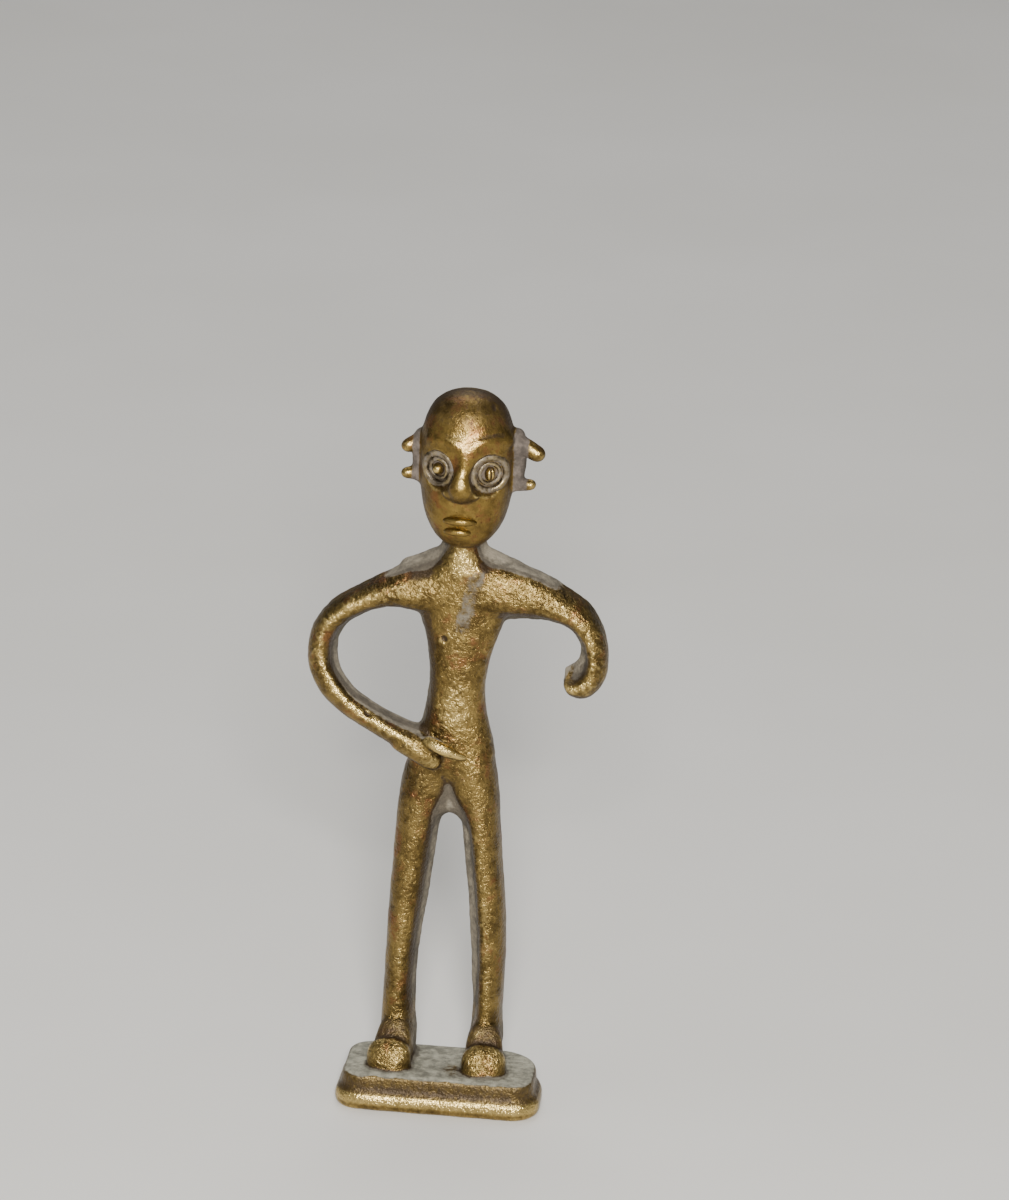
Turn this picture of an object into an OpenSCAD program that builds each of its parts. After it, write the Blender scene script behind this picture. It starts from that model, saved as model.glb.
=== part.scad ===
// Small cast-brass souvenir figurine: a standing figure on an oblong base, its
// right arm bent in a closed loop with the hand on the belly, its left arm a
// short hook. It is built from the rods, pads and pellets that it is modelled
// from before casting, each one trimmed where it meets its neighbour.
// Origin: centre of the base's underside. +Z is up, the figure faces -Y, and
// right and left are the figure's own, so its right side is at -X.

/* [Base] */
// Width of the base from side to side
base_w = 22.2; // [20:0.1:26]
// Depth of the base from front to back
base_d = 11.2; // [10.5:0.1:14]
// Thickness of the base
base_t = 4; // [3:0.1:5]
// Radius of the base's corners, seen from above
base_corner = 3.2; // [2:0.1:4.5]
// Height of the thick lip round the base's lower edge
lip_h = 2; // [1:0.1:2.5]
// How far the base's upper part stands back from the lip
lip_step = 0.45; // [0.2:0.05:0.8]

/* [Body] */
// Depth of the body and limbs from front to back
body_d = 4.4; // [3.8:0.1:5]
// How far the body's middle stands behind the base's middle
body_y = 2.6; // [2:0.1:2.8]
// How much wider a limb is at its back edges than across its front, each side
flare = 0.35; // [0.1:0.05:0.6]
// Depth of the forearm at the wrist, where it reaches forward to the belly
wrist_d = 5.6; // [4.4:0.1:6]

/* [Head] */
// Width of the head without its ears
head_w = 9.9; // [9:0.1:11]
// Depth of the head without its nose
head_d = 9.2; // [8.4:0.1:10]
// Height of the head from chin to crown
head_h = 17.1; // [16.5:0.1:18]
// How far the chin clears the base's top
chin_h = 58.9; // [58.7:0.1:59.5]
// Radius of the outer thread round each eye
eye_r = 1.75; // [1.6:0.05:1.9]
// Thickness of the threads round the eyes
thread = 0.5; // [0.4:0.05:0.55]
// Radius of the pellet in each eye
pellet_r = 0.6; // [0.45:0.05:0.7]
// How far the right ear stands out of the head
right_ear_out = 2.1; // [1.6:0.1:3]
// How far the left ear stands out of the head
left_ear_out = 3.4; // [2.4:0.1:4]

/* [Hidden] */

$fn = 32;
toe_spread = 0.45;   // how much wider than the ankle a foot's toe end is, each side
slice_t = 0.02;      // thickness of the slices that a foot is drawn over
ring_n = 20;         // points round a limb
head_n = 32;         // points round the head
past = 0.01;         // how far a cutter runs past the face that it cuts
ankle_h = 4.6;       // everything below is in heights above the base's top
crotch_h = 28.2;
waist_h = 36;
nape_h = 57;
elbow_step = 7;      // the right arm's stations up to this one are the upper arm
hook_step = 6;       // the left arm's stations past this one are the curled end

// Limb stations: [x, height, width, direction of the limb in degrees].
RIGHT_LEG = [
    [-5.25, ankle_h, 3.5, 90], [-5.2, 6.4, 3.4, 90], [-5.0, 11, 3.5, 90],
    [-4.5, 17, 4.1, 90], [-4.2, 20.6, 4.4, 90], [-3.9, 24, 4.6, 90],
    [-3.5, crotch_h, 4.9, 90]
];
LEFT_LEG = [
    [4.4, ankle_h, 3.4, 90], [4.4, 6.4, 3.5, 90], [4.25, 12.3, 4.1, 90],
    [3.9, 18, 4.3, 90], [3.5, 21.5, 4.3, 90], [3.2, 25, 4.4, 90],
    [2.9, crotch_h, 4.5, 90]
];
HIPS = [
    [-0.4, crotch_h, 11, 90], [-0.4, 29.6, 11, 90], [-0.4, 31.2, 10.7, 90],
    [-0.3, 33, 10.2, 90], [-0.2, 34.7, 9.5, 90], [-0.15, waist_h, 8.6, 90]
];
TORSO = [
    [-0.15, waist_h, 8.6, 90], [-0.1, 38.7, 7.1, 90], [-0.1, 41.5, 6.1, 90],
    [0, 44, 6.2, 90], [0.15, 47, 7.1, 90], [0.25, 49.5, 8.6, 90],
    [0.3, 51.5, 9.6, 90], [0.3, 54.6, 9.8, 90], [0.3, 56, 8.2, 90],
    [0.25, nape_h, 6, 90]
];
NECK = [
    [0.25, nape_h, 6, 90], [0.25, 57.9, 4.9, 90], [0.3, 59.5, 4.4, 90],
    [0.35, 61.5, 4.2, 90]
];
RIGHT_ARM = [
    [-3.2, 52.8, 5.6, 180], [-5.2, 52.9, 5, 183], [-7, 52.6, 4.2, 191],
    [-9.1, 51.9, 3.5, 200], [-11.2, 50.8, 3.1, 212], [-13.1, 49.4, 3, 228],
    [-14.2, 47.9, 3.1, 248], [-14.5, 45.9, 3.2, 270], [-14.3, 43.9, 3.1, 286],
    [-13.3, 41.8, 2.9, 306], [-12, 40.3, 2.6, 320], [-10.3, 39.2, 2.4, 328],
    [-8.5, 38.3, 2.4, 330], [-6.6, 37.4, 2.6, 333], [-4.4, 36.6, 3.1, 345]
];
LEFT_ARM = [
    [3.6, 53.2, 5.8, 0], [6, 53.1, 5, 358], [8.2, 52.8, 4.4, 352],
    [10.5, 52.2, 3.9, 336], [12.7, 50.9, 3.5, 318], [14.1, 49, 3.2, 296],
    [14.5, 47, 3.1, 272], [14.2, 45.2, 3.5, 248], [13.5, 44.1, 3.8, 228],
    [12.7, 43.7, 3.3, 208], [12, 43.7, 2, 200]
];

// Head stations: [share of the height from chin to crown, half width, half
// depth, both as shares of the head's own, shift of the slice's middle].
HEAD = [
    [0, 0.16, 0.15, -1], [0.035, 0.44, 0.41, -0.9], [0.09, 0.66, 0.61, -0.75],
    [0.17, 0.82, 0.77, -0.5], [0.26, 0.91, 0.88, -0.2], [0.38, 0.98, 0.96, 0],
    [0.5, 1, 1, 0], [0.62, 1, 1, 0], [0.74, 0.96, 0.96, 0],
    [0.83, 0.88, 0.88, 0], [0.9, 0.75, 0.76, 0], [0.955, 0.56, 0.57, 0],
    [0.99, 0.3, 0.31, 0], [1, 0.12, 0.12, 0]
];
head_x = 0.5;
head_y = 2;
face_x = 0.75;       // the nose and mouth sit a little to one side
ear_y = 2.2;         // the ears stand just behind the middle of the head
eye_floor = -0.45;   // how deep the floor of an eye socket lies
socket_r = eye_r + thread * 0.7;

// Depth of the limb at a station of the right arm: it deepens to the wrist
function arm_depth(i) = i < elbow_step ? body_d : body_d
    + (wrist_d - body_d) * (i - elbow_step) / (len(RIGHT_ARM) - 1 - elbow_step);
// The forearm comes forward so that the hand can lie on the belly
function arm_y(i) = i < elbow_step ? body_y : body_y
    - 1.1 * pow((i - elbow_step) / (len(RIGHT_ARM) - 1 - elbow_step), 1.4);

// Where the front of the head is at an x and a height above the base's top
function head_share(h) = (h - chin_h) / head_h;
function head_half(h, column) = lookup(head_share(h), [for (s = HEAD) [s[0], s[column]]]);
function head_front(x, h) =
    let (half_w = head_half(h, 1) * head_w / 2, half_d = head_half(h, 2) * head_d / 2)
    head_y + head_half(h, 3) - half_d * sqrt(max(0, 1 - pow((x - head_x) / half_w, 2)));

// Points of a limb's outline cut across, w wide and d deep: an ellipse in
// front, and flatter and wider at the back
function limb_point(a, w, d) =
    let (x = cos(a), y = sin(a), back = max(0, y))
    [x * (w / 2 - flare + flare * (1 - pow(1 - back, 3))), d / 2 * sign(y) * pow(abs(y), 1 - 0.45 * back)];

// One ring of the limb at a station: [x, height, width, direction]
function limb_ring(station, y, d) =
    [for (i = [0:ring_n - 1])
        let (
            p = limb_point(360 * i / ring_n, station[2], d),
            a = 90 - station[3]
        )
        [station[0] + p[0] * cos(a), y + p[1], base_t + station[1] - p[0] * sin(a)]];

// A closed skin over rings of equal length, the first one facing backwards
module skin(rings) {
    n = len(rings[0]);
    last = len(rings) - 1;
    polyhedron(
        points = [for (r = rings) each r],
        faces = [
            [for (i = [0:n - 1]) i],
            [for (i = [0:n - 1]) last * n + n - 1 - i],
            for (k = [0:last - 1], i = [0:n - 1])
                let (j = (i + 1) % n)
                each [
                    [k * n + i, (k + 1) * n + i, (k + 1) * n + j],
                    [k * n + i, (k + 1) * n + j, k * n + j]
                ]
        ]
    );
}

module limb(stations)
    skin([for (s = stations) limb_ring(s, body_y, body_d)]);

// The right arm's rod between two of its stations
module right_arm_rod(first, last)
    skin([for (i = [first:last]) limb_ring(RIGHT_ARM[i], arm_y(i), arm_depth(i))]);

module left_arm_rod(first, last)
    skin([for (i = [first:last]) limb_ring(LEFT_ARM[i], body_y, body_d)]);

module head_rod()
    skin([for (s = HEAD)
        [for (i = [0:head_n - 1])
            let (a = 360 * i / head_n)
            [
                head_x + s[1] * head_w / 2 * cos(a),
                head_y + s[3] + s[2] * head_d / 2 * sin(a),
                base_t + chin_h + s[0] * head_h
            ]]]);

// Moves what it holds onto an eye, with +Z pointing straight out of the face
module at_eye(side) {
    x = side < 0 ? -2.05 : 3.55;
    h = side < 0 ? 68.5 : 68.1;
    translate([x, head_front(x, h), base_t + h])
        rotate([0, 0, side * 27])
            rotate([94, 0, 0])
                children();
}

module half_round_ring(r) {
    translate([0, 0, eye_floor])
        rotate_extrude()
            translate([r, 0])
                intersection() {
                    circle(thread / 2);
                    translate([-1, 0])
                        square([2, 1]);
                }
}

// Oblong with round corners, standing on z = 0
module slab(w, d, h, r) {
    translate([-w / 2 + r, -d / 2, 0])
        cube([w - 2 * r, d, h]);
    translate([-w / 2, -d / 2 + r, 0])
        cube([w, d - 2 * r, h]);
    for (x = [-1, 1], y = [-1, 1])
        translate([x * (w / 2 - r), y * (d / 2 - r), 0])
            cylinder(h = h, r = r);
}

// The base: a lip round the bottom and a slightly smaller block on it
module base_plate() {
    color("darkgoldenrod")
        union() {
            slab(base_w, base_d, lip_h, base_corner);
            slab(base_w - 2 * lip_step, base_d - 2 * lip_step, base_t, base_corner - lip_step);
        }
}

// A foot: an instep that slopes from the shin to a round toe, standing on the
// base; side turns the toes outwards
module foot(leg, turn) {
    ankle = leg[0];
    color("goldenrod")
        translate([ankle[0], body_y, base_t])
            intersection() {
                rotate([0, 0, turn])
                    for (i = [0:7]) {
                        a = i / 8;
                        b = (i + 1) / 8;
                        hull() {
                            foot_slice(a, ankle[2]);
                            foot_slice(b, ankle[2]);
                        }
                    }
                translate([-5, -8, 0])
                    cube([10, 16, ankle_h - slice_t / 2]);
            }
}

module foot_slice(t, w) {
    heel_y = body_d / 2;
    toe_y = -5.6;
    top = t < 0.45 ? 5 : 5 - 2.9 * pow((t - 0.45) / 0.55, 1.2);
    half_w = w / 2 + toe_spread * min(1, max(0, (t - 0.3) / 0.4));
    translate([0, heel_y + (toe_y - heel_y) * t, 0])
        rotate([90, 0, 0])
            linear_extrude(slice_t, center = true)
                hull() {
                    translate([-half_w, 0])
                        square([2 * half_w, 0.5]);
                    translate([0, top - 1.2])
                        scale([half_w - 0.1, 1.2])
                            circle(1, $fn = 20);
                }
}

module right_foot() foot(RIGHT_LEG, -8);
module left_foot() foot(LEFT_LEG, 6);

module leg(stations)
    color("darkgoldenrod")
        limb(stations);

module right_leg() leg(RIGHT_LEG);
module left_leg() leg(LEFT_LEG);

// The hips: one wide rod whose front is notched between the thighs
module hips()
    color("goldenrod")
        difference() {
            limb(HIPS);
            hull()
                for (h = [crotch_h, crotch_h + 4.6])
                    translate([0.15, body_y - body_d / 2, base_t + h])
                        scale([h == crotch_h ? 1.7 : 0.4, 1, 1])
                            cylinder(h = past, r = 1.1, center = true);
        }

module torso()
    color("goldenrod")
        limb(TORSO);

// The neck's top is cut to the underside of the head
module neck()
    color("goldenrod")
        difference() {
            limb(NECK);
            head_rod();
        }

// The shoulder end is cut to the torso
module right_upper_arm()
    color("goldenrod")
        difference() {
            right_arm_rod(0, elbow_step);
            limb(TORSO);
        }

module right_forearm()
    color("goldenrod")
        difference() {
            right_arm_rod(elbow_step, len(RIGHT_ARM) - 1);
            limb(TORSO);
            limb(HIPS);
        }

module left_upper_arm()
    color("goldenrod")
        difference() {
            left_arm_rod(0, hook_step);
            limb(TORSO);
        }

module left_stump()
    color("goldenrod")
        left_arm_rod(hook_step, len(LEFT_ARM) - 1);

// A rod pressed along a few points: [x, y, height, radius]
module pressed_rod(points)
    for (i = [0:len(points) - 2])
        hull()
            for (p = [points[i], points[i + 1]])
                translate([p[0], p[1], base_t + p[2]])
                    sphere(p[3], $fn = 16);

PALM = [
    [-4.2, 0.6, 36.6, 1.5], [-3.4, 0.3, 36.5, 1.5], [-2.6, 0.1, 36.1, 1.4],
    [-1.9, 0, 35.5, 1.2], [-1.5, 0, 35, 1.05]
];
FINGER = [
    [-2.4, -0.7, 38, 0.7], [-1.2, -0.9, 37.5, 0.65], [0, -0.9, 36.9, 0.62],
    [1, -0.7, 36.5, 0.55], [1.7, -0.4, 36.3, 0.45]
];

// The hand is a flat pad that hangs from the wrist against the belly
module right_hand()
    color("goldenrod")
        difference() {
            pressed_rod(PALM);
            right_arm_rod(elbow_step, len(RIGHT_ARM) - 1);
            limb(TORSO);
            limb(HIPS);
        }

// One long finger lies above the palm, pointing across the body
module right_finger()
    color("gold")
        difference() {
            pressed_rod(FINGER);
            pressed_rod(PALM);
            right_arm_rod(elbow_step, len(RIGHT_ARM) - 1);
            limb(TORSO);
            limb(HIPS);
        }

// The head: an egg with a round, shallow socket for each eye
module head()
    color("darkgoldenrod")
        difference() {
            head_rod();
            for (side = [-1, 1])
                at_eye(side)
                    translate([0, 0, eye_floor])
                        cylinder(h = 4, r = socket_r);
        }

NOSE = [
    [face_x, 0.35, 70.6, 0.45], [face_x - 0.1, 0.25, 69, 0.5],
    [face_x - 0.2, 0.1, 67.3, 0.65], [face_x - 0.35, -0.25, 65.9, 0.95]
];

module nose()
    color("gold")
        difference() {
            union() {
                for (i = [0:len(NOSE) - 2])
                    hull()
                        for (n = [NOSE[i], NOSE[i + 1]])
                            translate([n[0], head_front(n[0], n[2]) + n[1], base_t + n[2]])
                                sphere(n[3], $fn = 20);
                for (side = [-1, 1])
                    translate([
                        NOSE[3][0] + side * 1.1,
                        head_front(NOSE[3][0] + side * 1.1, NOSE[3][2]) + 0.05,
                        base_t + NOSE[3][2] - 0.35
                    ])
                        sphere(0.72, $fn = 20);
            }
            head_rod();
        }

// A thread pressed on across the mouth
module lip(h, half_w, r)
    color("gold")
        difference() {
            for (i = [-4:3])
                hull()
                    for (k = [i, i + 1]) {
                        x = face_x - 0.2 + half_w * k / 4;
                        translate([x, head_front(x, h) + 0.05, base_t + h - 0.1 + 0.1 * pow(k / 4, 2)])
                            scale([1, 1, 0.8])
                                sphere(r * (1.15 - 0.5 * pow(k / 4, 2)), $fn = 16);
                    }
            head_rod();
        }

module upper_lip() lip(62.9, 1.6, 0.45);
module lower_lip() lip(61.7, 1.2, 0.42);

module eye_outer_ring(side)
    color("darkkhaki")
        at_eye(side)
            half_round_ring(eye_r - thread / 2);

module eye_inner_ring(side)
    color("darkkhaki")
        at_eye(side)
            half_round_ring((eye_r - thread) / 2 + pellet_r / 2 + thread * 0.1);

// A domed pellet in the middle of the socket
module eye_pellet(side)
    color("gold")
        at_eye(side)
            translate([0, 0, eye_floor])
                intersection() {
                    sphere(pellet_r);
                    translate([-1, -1, 0])
                        cube([2, 2, 1]);
                }

module right_eye_outer_ring() eye_outer_ring(-1);
module left_eye_outer_ring() eye_outer_ring(1);
module right_eye_inner_ring() eye_inner_ring(-1);
module left_eye_inner_ring() eye_inner_ring(1);
module right_eye_pellet() eye_pellet(-1);
module left_eye_pellet() eye_pellet(1);

// An ear: a wall that stands out of the head, with a knob at each end of its
// outer edge. knobs holds [reach, height, radius] for each of them.
module ear(side, knobs, wall_low, wall_high, wall_out) {
    edge_x = head_x + side * head_w / 2;
    root_x = edge_x - side * 0.8;
    color("darkgoldenrod")
        difference() {
            union() {
                hull()
                    for (h = [wall_low, wall_high], x = [root_x, edge_x + side * wall_out])
                        translate([x, ear_y, base_t + h])
                            scale([0.5, 1, 0.5])
                                sphere(1, $fn = 14);
                for (k = knobs)
                    hull() {
                        translate([root_x, ear_y - 0.1, base_t + k[1] + 0.25])
                            scale([0.6, 1.25, 0.8])
                                sphere(1, $fn = 16);
                        translate([edge_x + side * (k[0] - k[2]), ear_y - 0.35, base_t + k[1]])
                            sphere(k[2], $fn = 18);
                    }
            }
            head_rod();
        }
}

module right_ear()
    ear(-1, [[right_ear_out, 69.5, 0.75], [right_ear_out, 66.3, 0.75]], 66.4, 70.6, 0.2);
module left_ear()
    ear(1, [[left_ear_out, 69.9, 0.95], [left_ear_out - 1, 66.1, 0.8]], 66.1, 71.2, 0.8);

base_plate();
right_foot();
left_foot();
right_leg();
left_leg();
hips();
torso();
neck();
right_upper_arm();
right_forearm();
right_hand();
right_finger();
left_upper_arm();
left_stump();
head();
nose();
upper_lip();
lower_lip();
right_eye_outer_ring();
left_eye_outer_ring();
right_eye_inner_ring();
left_eye_inner_ring();
right_eye_pellet();
left_eye_pellet();
right_ear();
left_ear();
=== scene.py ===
import math

import bmesh
import bpy
import numpy as np
from mathutils import Matrix, Vector, noise


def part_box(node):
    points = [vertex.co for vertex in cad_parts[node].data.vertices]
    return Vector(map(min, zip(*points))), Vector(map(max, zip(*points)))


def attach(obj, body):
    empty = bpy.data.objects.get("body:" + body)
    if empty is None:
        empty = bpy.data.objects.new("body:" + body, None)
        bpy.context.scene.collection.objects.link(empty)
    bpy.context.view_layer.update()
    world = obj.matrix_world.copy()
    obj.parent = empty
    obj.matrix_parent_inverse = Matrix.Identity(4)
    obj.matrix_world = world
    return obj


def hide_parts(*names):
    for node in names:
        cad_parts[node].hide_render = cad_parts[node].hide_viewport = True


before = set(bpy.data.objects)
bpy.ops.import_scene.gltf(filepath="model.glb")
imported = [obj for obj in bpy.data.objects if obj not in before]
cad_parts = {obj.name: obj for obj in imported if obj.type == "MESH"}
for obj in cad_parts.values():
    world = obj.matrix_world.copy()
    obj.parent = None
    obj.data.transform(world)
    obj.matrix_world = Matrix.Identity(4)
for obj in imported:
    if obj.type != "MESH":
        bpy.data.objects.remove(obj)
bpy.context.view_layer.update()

# --- The studio ---
# The casting stands on a pale sweep. One soft lamp above the camera gives the
# long highlights down the front of the limbs, and two large ones fill the sides.
MM = 0.001
middle = Vector((5.14, 0, 57.67)) * MM


def look_from(azimuth, elevation):
    """The unit vector from the object towards a viewer there."""
    a, e = math.radians(azimuth), math.radians(elevation)
    return Vector((math.sin(a) * math.cos(e), -math.cos(a) * math.cos(e), math.sin(e)))


def lamp(name, azimuth, elevation, distance, size, watts, tint):
    light = bpy.data.lights.new(name, "AREA")
    light.shape = "DISK"
    light.size = size
    light.energy = watts
    light.color = tint
    holder = bpy.data.objects.new(name, light)
    towards = look_from(azimuth, elevation)
    holder.location = middle + towards * distance
    holder.rotation_mode = "QUATERNION"
    holder.rotation_quaternion = towards.to_track_quat("Z", "Y")
    bpy.context.scene.collection.objects.link(holder)


lamp("key", 7, 25, 0.60, 0.12, 6.0, (1.0, 0.98, 0.94))
lamp("fill_left", -65, 30, 0.70, 0.50, 0.5, (0.95, 0.97, 1.0))
lamp("fill_right", 75, 25, 0.70, 0.50, 0.4, (1.0, 0.98, 0.95))
lamp("top_back", 190, 60, 0.70, 0.50, 2.2, (1.0, 1.0, 1.0))

ROOM_TINT, ROOM_STRENGTH = (0.80, 0.80, 0.78, 1), 0.18
world = bpy.data.worlds.new("studio")
world.use_nodes = True
room = world.node_tree.nodes["Background"]
room.inputs["Color"].default_value = ROOM_TINT
room.inputs["Strength"].default_value = ROOM_STRENGTH
bpy.context.scene.world = world

CAMERA_AZIMUTH, CAMERA_ELEVATION, CAMERA_ROLL = 6, 20, 2      # degrees
CAMERA_DISTANCE = 0.665
CAMERA_LENS = 189.5
camera_data = bpy.data.cameras.new("camera")
camera = bpy.data.objects.new("camera", camera_data)
bpy.context.scene.collection.objects.link(camera)
bpy.context.scene.camera = camera
camera_data.sensor_width = 36
camera_data.lens = CAMERA_LENS
camera_data.clip_start = 0.05
back = look_from(CAMERA_AZIMUTH, CAMERA_ELEVATION)
rolled = Matrix.Rotation(math.radians(CAMERA_ROLL), 3, "Z").to_quaternion()
camera.rotation_mode = "QUATERNION"
camera.rotation_quaternion = back.to_track_quat("Z", "Y") @ rolled
camera.location = middle + back * CAMERA_DISTANCE

floor_mesh = bmesh.new()
bmesh.ops.create_grid(floor_mesh, x_segments=1, y_segments=1, size=4)
floor_data = bpy.data.meshes.new("floor")
floor_mesh.to_mesh(floor_data)
floor = bpy.data.objects.new("floor", floor_data)
bpy.context.scene.collection.objects.link(floor)


class Wire:
    """A shader socket that Python arithmetic adds Math nodes to."""

    def __init__(self, tree, socket):
        self.tree, self.socket = tree, socket

    def node(self, kind, inputs, out=0, **settings):
        made = self.tree.nodes.new("ShaderNode" + kind)
        for key, value in settings.items():
            setattr(made, key, value)
        for key, value in inputs.items():
            if isinstance(value, Wire):
                self.tree.links.new(value.socket, made.inputs[key])
            else:
                made.inputs[key].default_value = value
        return Wire(self.tree, made.outputs[out])

    def math(self, operation, first, second=0.0):
        return self.node("Math", {0: first, 1: second}, operation=operation)

    def __add__(self, other):
        return self.math("ADD", self, other)

    def __mul__(self, other):
        return self.math("MULTIPLY", self, other)

    def __sub__(self, other):
        return self.math("SUBTRACT", self, other)

    def __rsub__(self, other):
        return self.math("SUBTRACT", other, self)

    __radd__ = __add__
    __rmul__ = __mul__

    def between(self, low, high):
        """0 where this is under low, 1 over high, and smooth in between."""
        ends = {"Value": self, "From Min": low, "From Max": high}
        return self.node("MapRange", ends, interpolation_type="SMOOTHSTEP")

    def paint(self, under, over):
        """The colour under, with over laid on it as far as this mask says."""
        return self.node("Mix", {0: self, 6: under, 7: over}, out=2, data_type="RGBA")

    def speckle(self, size, detail=3.0, roughness=0.55):
        """Cloudy noise whose lumps are about size metres across, from places."""
        cloud = {"Vector": self, "Scale": 1 / size, "Detail": detail, "Roughness": roughness}
        return self.node("TexNoise", cloud)


def new_material(name):
    material = bpy.data.materials.new(name)
    material.use_nodes = True
    tree = material.node_tree
    shader = tree.nodes["Principled BSDF"]
    places = tree.nodes.new("ShaderNodeTexCoord")
    return material, tree, shader, Wire(tree, places.outputs["Object"])


def colour(red, green, blue):
    """A shader colour from the three numbers that a paint chart gives."""
    return tuple(((c / 255 + 0.055) / 1.055) ** 2.4 for c in (red, green, blue)) + (1,)


paper, paper_tree, paper_shader, paper_places = new_material("pale_sweep")
paper_cloud = paper_places.speckle(0.08).between(0.3, 0.7)
paper_tint = paper_cloud.paint(colour(226, 224, 219), colour(231, 229, 225))
paper_tree.links.new(paper_tint.socket, paper_shader.inputs["Base Color"])
paper_shader.inputs["Roughness"].default_value = 0.9
floor_data.materials.append(paper)

# --- The base plate ---
# A thick oblong casting with round ends, the back right one cut rounder. Its
# foot is a rounded lip, rubbed bright, with a painted highlight along its front,
# and its wall leans in above that, painted darker as shade.
# The wax of the whole body is gathered in one mesh, because it is cast in one.
wax = bmesh.new()
base_low, base_high = (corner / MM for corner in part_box("base_plate"))
BASE_TOP = base_high.z
BASE_CORNERS = [5.2, 3.4, 2.9, 3.0]      # back right, back left, front left, front right
BASE_WALL = [                            # height, how far it stands in from the widest outline
    (0, 0.5), (0.15, 0.22), (0.45, 0.05), (0.9, 0), (1.35, 0.03), (1.75, 0.16), (2.05, 0.42),
    (2.3, 0.62), (2.8, 0.7), (3.4, 0.72), (3.75, 0.8), (BASE_TOP - 0.06, 1.0), (BASE_TOP, 1.3),
]
CORNER_STEPS = 9


def loft(bm, outlines):
    """A closed skin through outlines that all have the same number of points."""
    loops = []
    for index, points in enumerate(outlines):
        is_end = index in (0, len(outlines) - 1)
        made = bmesh.ops.create_circle(bm, segments=len(points), radius=1, cap_ends=is_end)
        for vert, point in zip(made["verts"], points):
            vert.co = point
        loops.append({edge for vert in made["verts"] for edge in vert.link_edges})
    for low, high in zip(loops, loops[1:]):
        bmesh.ops.bridge_loops(bm, edges=list(low | high))


def oblong(half_width, half_depth, corners, middle_y, height):
    """An oblong outline whose four corners each have their own radius."""
    points = []
    for quarter, radius in enumerate(corners):
        side = 1 if quarter in (0, 3) else -1
        far = 1 if quarter in (0, 1) else -1
        for step in range(CORNER_STEPS):
            a = math.pi / 2 * (quarter + step / (CORNER_STEPS - 1))
            points.append((
                side * (half_width - radius) + radius * math.cos(a),
                middle_y + far * (half_depth - radius) + radius * math.sin(a),
                height,
            ))
    return points


base_half = (base_high - base_low) / 2
base_middle_y = (base_high.y + base_low.y) / 2
base_outlines = []
for height, inset in BASE_WALL:
    radii = [radius - inset for radius in BASE_CORNERS]
    base_outlines.append(oblong(base_half.x - inset, base_half.y - inset, radii, base_middle_y, height))
loft(wax, base_outlines)

# --- The feet ---
# A short loaf of wax under each shin, pressed flat on the instep, with a round
# toe end. The right one turns out a little more.
FOOT = [   # y, half the width, height above the base
    (3.9, 1.75, 4.6), (2.0, 1.85, 4.9), (0.9, 1.95, 4.9), (0.35, 2.0, 4.8), (-0.15, 2.05, 4.35),
    (-0.6, 2.1, 3.6), (-0.95, 2.15, 2.95), (-1.2, 2.3, 2.95), (-1.6, 2.42, 3.1), (-2.1, 2.4, 3.0),
    (-2.6, 2.2, 2.6), (-3.05, 1.8, 1.95), (-3.4, 1.2, 1.15), (-3.55, 0.6, 0.5),
]
FOOT_SINKS = 0.6     # how deep the loaf is set into the base
ANKLE_Y = 0.9        # the place that a foot is turned round
FEET = [(-5.15, -7), (4.55, 5)]      # x, turn in degrees


def eased(stations, steps=4):
    """More stations, on a smooth curve through the given ones."""
    given = np.array(stations, float)
    ends = np.vstack([2 * given[0] - given[1], given, 2 * given[-1] - given[-2]])
    made = []
    for a, b, c, d in zip(ends, ends[1:], ends[2:], ends[3:]):
        for t in np.arange(steps) / steps:
            made.append((
                2 * b + (c - a) * t + (2 * a - 5 * b + 4 * c - d) * t**2 + (3 * b - a - 3 * c + d) * t**3
            ) / 2)
    return made + [given[-1]]


def foot(ankle_x, turn):
    turned = Matrix.Translation((ankle_x, ANKLE_Y, BASE_TOP)) @ Matrix.Rotation(math.radians(turn), 4, "Z")
    outlines = []
    for y, half_width, height in eased(FOOT, 3):
        outline = [(half_width * 0.92, -FOOT_SINKS), (half_width, height * 0.28)]
        for a in np.linspace(0.1 * math.pi, 0.9 * math.pi, 11):
            outline.append((
                half_width * math.copysign(abs(math.cos(a)) ** 0.85, math.cos(a)),
                height * (0.35 + 0.65 * math.sin(a) ** 0.85),
            ))
        outline += [(-half_width, height * 0.28), (-half_width * 0.92, -FOOT_SINKS)]
        outlines.append([turned @ Vector((x, y - ANKLE_Y, z)) for x, z in outline])
    loft(wax, outlines)


for ankle_x, turn in FEET:
    foot(ankle_x, turn)

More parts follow.
